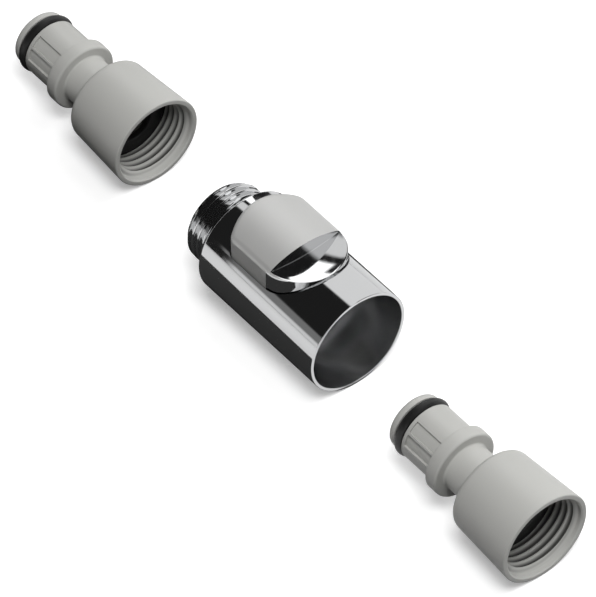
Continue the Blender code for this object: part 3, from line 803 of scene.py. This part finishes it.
# Studio
# A pale floor in soft light. Chrome shows what stands round it, so the tent has the black and the
# white cards of a product photograph: a black one above the near side, and one low on the floor.

FLOOR_SIZE = 3.0
FLOOR_DIM = (0.05, 0.05, 0.05, 1.0)
FLOOR_BRIGHT = (0.85, 0.85, 0.85, 1.0)
FLOOR_LIFT = 0.35
LOW_CARD_HEIGHT = 0.0001
LOW_CARD_WIDTH = 0.092
LOW_CARD_REAR = -0.20
LOW_CARD_FRONT = MOUTH_X + 0.001


def pale_floor():
    """Matt paper. Only the camera and mirrors see it at full brightness, so it throws little light up."""
    made, nodes, links, shader = principled("pale_floor", FLOOR_DIM[:3], 0.0, 0.95)
    shader.inputs["Specular IOR Level"].default_value = 0.0
    ray = nodes.new("ShaderNodeLightPath")
    seen = nodes.new("ShaderNodeMath")
    seen.operation = "MAXIMUM"
    seen_or_through = nodes.new("ShaderNodeMath")
    seen_or_through.operation = "MAXIMUM"
    links.new(ray.outputs["Is Camera Ray"], seen.inputs[0])
    links.new(ray.outputs["Is Glossy Ray"], seen.inputs[1])
    links.new(seen.outputs["Value"], seen_or_through.inputs[0])
    links.new(ray.outputs["Is Transmission Ray"], seen_or_through.inputs[1])
    shade = nodes.new("ShaderNodeMix")
    shade.data_type = "RGBA"
    shade.inputs["A"].default_value = FLOOR_DIM
    shade.inputs["B"].default_value = FLOOR_BRIGHT
    links.new(seen_or_through.outputs["Value"], shade.inputs["Factor"])
    links.new(shade.outputs["Result"], shader.inputs["Base Color"])
    lift = nodes.new("ShaderNodeMath")
    lift.operation = "MULTIPLY"
    lift.inputs[1].default_value = FLOOR_LIFT
    links.new(ray.outputs["Is Camera Ray"], lift.inputs[0])
    links.new(lift.outputs["Value"], shader.inputs["Emission Strength"])
    shader.inputs["Emission Color"].default_value = (1.0, 1.0, 1.0, 1.0)
    return made


def flat_sheet(name, x, y, z, length, width, paint):
    """A level rectangle round the point (x, y, z)."""
    mesh = bpy.data.meshes.new(name)
    corners = [(x + u * length / 2, y + v * width / 2, z) for u, v in ((-1, -1), (1, -1), (1, 1), (-1, 1))]
    mesh.from_pydata(corners, [], [(0, 1, 2, 3)])
    mesh.materials.append(paint)
    made = bpy.data.objects.new(name, mesh)
    bpy.context.scene.collection.objects.link(made)
    return made


def black_card():
    """Black matt card."""
    made, nodes, links, shader = principled("black_card", (0.045, 0.045, 0.045), 0.0, 1.0)
    shader.inputs["Specular IOR Level"].default_value = 0.0
    return made


flat_sheet("floor", 0.0, 0.0, 0.0, FLOOR_SIZE, FLOOR_SIZE, pale_floor())
low_card = flat_sheet("low_card", (LOW_CARD_REAR + LOW_CARD_FRONT) / 2, 0.0, LOW_CARD_HEIGHT,
                      LOW_CARD_FRONT - LOW_CARD_REAR, LOW_CARD_WIDTH, black_card())
low_card.visible_camera = False
low_card.visible_diffuse = False
low_card.visible_shadow = False
low_card.visible_transmission = False


# The tent's tones, each after the angle about the socket's axis at which it stands: nought is straight
# up and ninety degrees is towards -Y. Each pair of card limits is where a card's edge fades in.
TENT_BRIGHTEST = 1.8
CARD_BLACK = 0.01
ALONG_TONES = ((-180, 0.92), (-11, 0.92), (-8, 0.016), (68, 0.016), (71, 0.22), (82, 0.22),
               (85, 0.78), (180, 0.85))
AFT_TONES = ((-180, 0.85), (-63, 0.85), (-60, 1.8), (-33.5, 1.8), (-31.5, 0.01), (-26.5, 0.01),
             (-24, 0.85), (-11, 0.85), (-8, 0.016), (180, 0.016))
AFT_CARD_X = (-0.555, -0.575)
SLANT_PER_X = 2.18
SLANT_EDGE = (0.48, 0.45)
FAR_AFT_CARD_X = (-0.745, -0.76)
FAR_AFT_CARD_ANGLE = (math.radians(-44), math.radians(-42))
AHEAD_CARD_X = (0.27, 0.33)
AHEAD_CARD_Y = (0.37, 0.41)
AHEAD_CARD_Z = (0.10, 0.16)


def tent():
    """The world: its tone depends on the angle about the socket's axis, with more cards fore and aft."""
    world = bpy.data.worlds.new("tent")
    world.use_nodes = True
    nodes, links = world.node_tree.nodes, world.node_tree.links
    background = nodes["Background"]
    place = nodes.new("ShaderNodeTexCoord")
    parts = nodes.new("ShaderNodeSeparateXYZ")
    links.new(place.outputs["Generated"], parts.inputs["Vector"])

    def maths(operation, first, second):
        node = nodes.new("ShaderNodeMath")
        node.operation = operation
        for socket_in, given in zip(node.inputs, (first, second)):
            if isinstance(given, float):
                socket_in.default_value = given
            else:
                links.new(given, socket_in)
        return node.outputs["Value"]

    def ramp_up(value, start, end):
        node = nodes.new("ShaderNodeMapRange")
        node.inputs["From Min"].default_value = start
        node.inputs["From Max"].default_value = end
        links.new(value, node.inputs["Value"])
        return node.outputs["Result"]

    angle = maths("ARCTAN2", maths("MULTIPLY", parts.outputs["Y"], -1.0), parts.outputs["Z"])
    share = ramp_up(angle, -math.pi, math.pi)

    def bands(tones):
        node = nodes.new("ShaderNodeValToRGB")
        links.new(share, node.inputs["Fac"])
        while len(node.color_ramp.elements) < len(tones):
            node.color_ramp.elements.new(0.5)
        for element, (turn, tone) in zip(node.color_ramp.elements, tones):
            element.position = (math.radians(turn) + math.pi) / (2 * math.pi)
            share_of_brightest = tone / TENT_BRIGHTEST
            element.color = (share_of_brightest, share_of_brightest, share_of_brightest, 1.0)
        return node.outputs["Color"]

    def cover(under, over, mask):
        node = nodes.new("ShaderNodeMix")
        node.data_type = "RGBA"
        links.new(mask, node.inputs["Factor"])
        links.new(under, node.inputs["A"])
        if isinstance(over, float):
            node.inputs["B"].default_value = (over, over, over, 1.0)
        else:
            links.new(over, node.inputs["B"])
        return node.outputs["Result"]

    along = parts.outputs["X"]
    aft = ramp_up(along, *AFT_CARD_X)
    tone = cover(bands(ALONG_TONES), bands(AFT_TONES), aft)
    slant = maths("SUBTRACT", angle, maths("MULTIPLY", along, SLANT_PER_X))
    tone = cover(tone, CARD_BLACK, maths("MULTIPLY", aft, ramp_up(slant, *SLANT_EDGE)))
    far_aft = maths("MULTIPLY", ramp_up(along, *FAR_AFT_CARD_X), ramp_up(angle, *FAR_AFT_CARD_ANGLE))
    tone = cover(tone, CARD_BLACK, far_aft)
    ahead = maths("MULTIPLY", ramp_up(along, *AHEAD_CARD_X), ramp_up(parts.outputs["Z"], *AHEAD_CARD_Z))
    ahead = maths("MULTIPLY", ahead, ramp_up(parts.outputs["Y"], *AHEAD_CARD_Y))
    tone = cover(tone, CARD_BLACK, ahead)
    links.new(tone, background.inputs["Color"])
    background.inputs["Strength"].default_value = TENT_BRIGHTEST
    return world


bpy.context.scene.world = tent()


def softbox(name, towards, distance, size, power):
    """A large square lamp aimed at the socket. Mirrors don't see it, so it leaves no spot on the chrome."""
    lamp = bpy.data.lights.new(name, "AREA")
    lamp.size = size
    lamp.energy = power
    made = bpy.data.objects.new(name, lamp)
    bpy.context.scene.collection.objects.link(made)
    direction = Vector(towards).normalized()
    made.location = direction * distance
    made.rotation_euler = direction.to_track_quat("Z", "Y").to_euler()
    made.visible_glossy = False
    made.visible_camera = False
    return made


softbox("key", (0.30, -0.18, 0.82), 1.2, 0.5, 11.0)
softbox("far_side", (0.10, 0.94, 0.34), 1.2, 0.5, 5.0)


# Camera
# It stands where the photograph was taken from: a long lens, looking down on the socket's mouth.

VIEW_AZIMUTH = math.radians(51.0)
VIEW_ELEVATION = math.radians(47.3)
VIEW_DISTANCE = 1.375
MOUTH_PIXEL = (358.2, 342.4)
PHOTO_SIZE = (596, 597)
METRES_PER_PIXEL = 0.0002236
SENSOR_WIDTH = 36.0

towards_camera = Vector((math.sin(VIEW_AZIMUTH) * math.cos(VIEW_ELEVATION),
                         -math.cos(VIEW_AZIMUTH) * math.cos(VIEW_ELEVATION), math.sin(VIEW_ELEVATION)))
camera_right = Vector((math.cos(VIEW_AZIMUTH), math.sin(VIEW_AZIMUTH), 0.0))
camera_up = towards_camera.cross(camera_right)
mouth = Vector((MOUTH_X, 0.0, AXIS_Z))
lens = bpy.data.cameras.new("camera")
lens.sensor_width = SENSOR_WIDTH
lens.lens = lens.sensor_width * VIEW_DISTANCE / (METRES_PER_PIXEL * max(PHOTO_SIZE))
camera = bpy.data.objects.new("camera", lens)
bpy.context.scene.collection.objects.link(camera)
camera.location = (mouth + VIEW_DISTANCE * towards_camera
                   - (MOUTH_PIXEL[0] - PHOTO_SIZE[0] / 2) * METRES_PER_PIXEL * camera_right
                   + (MOUTH_PIXEL[1] - PHOTO_SIZE[1] / 2) * METRES_PER_PIXEL * camera_up)
camera.rotation_euler = towards_camera.to_track_quat("Z", "Y").to_euler()
bpy.context.scene.camera = camera

bpy.context.scene.view_settings.view_transform = "Standard"
bpy.context.view_layer.update()
